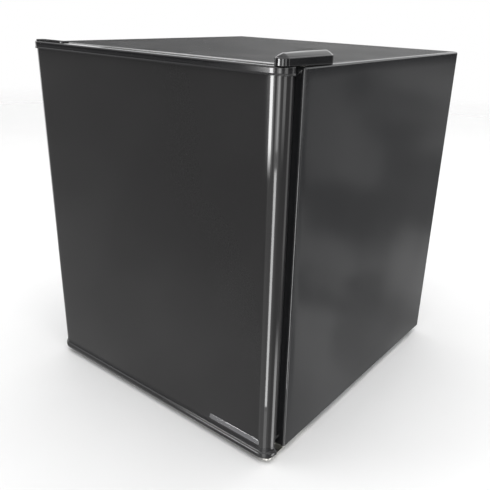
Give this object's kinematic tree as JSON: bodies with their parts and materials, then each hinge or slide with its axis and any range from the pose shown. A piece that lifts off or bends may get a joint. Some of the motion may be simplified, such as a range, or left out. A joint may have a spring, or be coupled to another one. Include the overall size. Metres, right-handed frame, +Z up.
{
  "type": "mini fridge",
  "caption": "Free-standing counter-top mini fridge: folded charcoal cabinet, hinged round-edged door with end caps and seal, ice box, shelf, racks, compressor and rear condenser.",
  "frame": {"origin": "middle of the footprint at floor level, under the feet", "axes": "+Z up; the door faces -Y; the door is hinged on its +X side"},
  "size_m": [0.446, 0.48, 0.5154],
  "materials": {
    "cabinet_paint": "satin charcoal paint",
    "door_paint": "satin charcoal paint",
    "cap_plastic": "glossy black",
    "white_plastic": "satin white",
    "tray_plastic": "frosted pale blue-white",
    "foam": "rigid foam",
    "galvanised": "spangled galvanised",
    "plated_steel": "zinc plated",
    "aluminium_sheet": "satin",
    "shelf_wire": "white plastic coated",
    "black_enamel": "semi-gloss black",
    "copper_pipe": "drawn copper",
    "rubber_black": "matt",
    "seal_vinyl": "soft dark vinyl",
    "badge_metal": "satin",
    "magnet_strip": "ferrite filled strip",
    "motor_iron": "machined",
    "control_plastic": "moulded black"
  },
  "bodies": {
    "cabinet": {"cabinet_shell": "cabinet_paint", "base_pan": "galvanised", "back_panel": "galvanised", "niche_panel": "galvanised", "insulation_foam": "foam", "inner_liner": "white_plastic", "compressor_plate": "galvanised", "foot_nuts": "plated_steel", "rear_feet": "control_plastic", "top_hinge_bracket": "plated_steel", "lower_hinge_bracket": "plated_steel", "hinge_pins": "plated_steel", "hinge_screws": "plated_steel", "hinge_washer": "white_plastic", "hinge_cover": "cap_plastic", "evaporator": "aluminium_sheet", "ice_box_frame": "white_plastic", "flap_pins": "plated_steel", "evaporator_hangers": "white_plastic", "tray_rails": "white_plastic", "wire_shelf": "shelf_wire", "thermostat_housing": "white_plastic", "thermostat_body": "plated_steel", "thermostat_sensor": "copper_pipe", "compressor_lower_shell": "black_enamel", "compressor_upper_shell": "black_enamel", "compressor_stator": "motor_iron", "compressor_pump_block": "motor_iron", "compressor_grommets": "rubber_black", "compressor_bolts": "plated_steel", "relay_cover": "control_plastic", "cord_gland": "rubber_black", "discharge_tube": "copper_pipe", "suction_tube": "copper_pipe", "capillary_tube": "copper_pipe", "liquid_line": "copper_pipe", "filter_drier": "copper_pipe", "condenser_tube": "black_enamel", "condenser_wires": "black_enamel", "condenser_brackets": "control_plastic", "rear_screws": "plated_steel"},
    "door": {"door_outer_panel": "door_paint", "door_top_cap": "cap_plastic", "door_bottom_cap": "cap_plastic", "door_foam": "foam", "door_liner": "white_plastic", "door_gasket": "seal_vinyl", "gasket_magnets": "magnet_strip", "bottle_rack": "tray_plastic", "upper_rack": "tray_plastic", "door_bushes": "white_plastic", "hinge_hole_plug": "cap_plastic", "door_badge": "badge_metal"},
    "flap": {"ice_box_flap": "tray_plastic"},
    "tray": {"drip_tray": "tray_plastic"},
    "knob": {"thermostat_knob": "white_plastic", "thermostat_shaft": "plated_steel"},
    "foot_left": {"front_foot_left": "control_plastic"},
    "foot_right": {"front_foot_right": "control_plastic"},
    "rotor": {"compressor_rotor": "motor_iron"}
  },
  "joints": [
    {"name": "door_hinge", "type": "hinge", "parent": "cabinet", "child": "door", "pos_m": [0.212, -0.227, 0.257], "axis": [0, 0, 1], "range_deg": [0, 130]},
    {"name": "ice_box_flap_hinge", "type": "hinge", "parent": "cabinet", "child": "flap", "pos_m": [0, -0.084, 0.453], "axis": [-1, 0, 0], "range_deg": [0, 85]},
    {"name": "drip_tray_slide", "type": "slide", "parent": "cabinet", "child": "tray", "axis": [0, -1, 0], "range_m": [0, 0.075]},
    {"name": "thermostat_turn", "type": "hinge", "parent": "cabinet", "child": "knob", "pos_m": [0.148, -0.036, 0.306], "axis": [-1, 0, 0], "range_deg": [0, 300]},
    {"name": "left_foot_screw", "type": "hinge", "parent": "cabinet", "child": "foot_left", "pos_m": [-0.188, -0.172, 0.004], "axis": [0, 0, 1], "range_deg": [0, 2100]},
    {"name": "right_foot_screw", "type": "hinge", "parent": "cabinet", "child": "foot_right", "pos_m": [0.188, -0.172, 0.004], "axis": [0, 0, 1], "range_deg": [0, 2100]},
    {"name": "compressor_spin", "type": "hinge", "parent": "cabinet", "child": "rotor", "pos_m": [0.04, 0.158, 0.07], "axis": [0, 0, 1], "continuous": true}
  ]
}
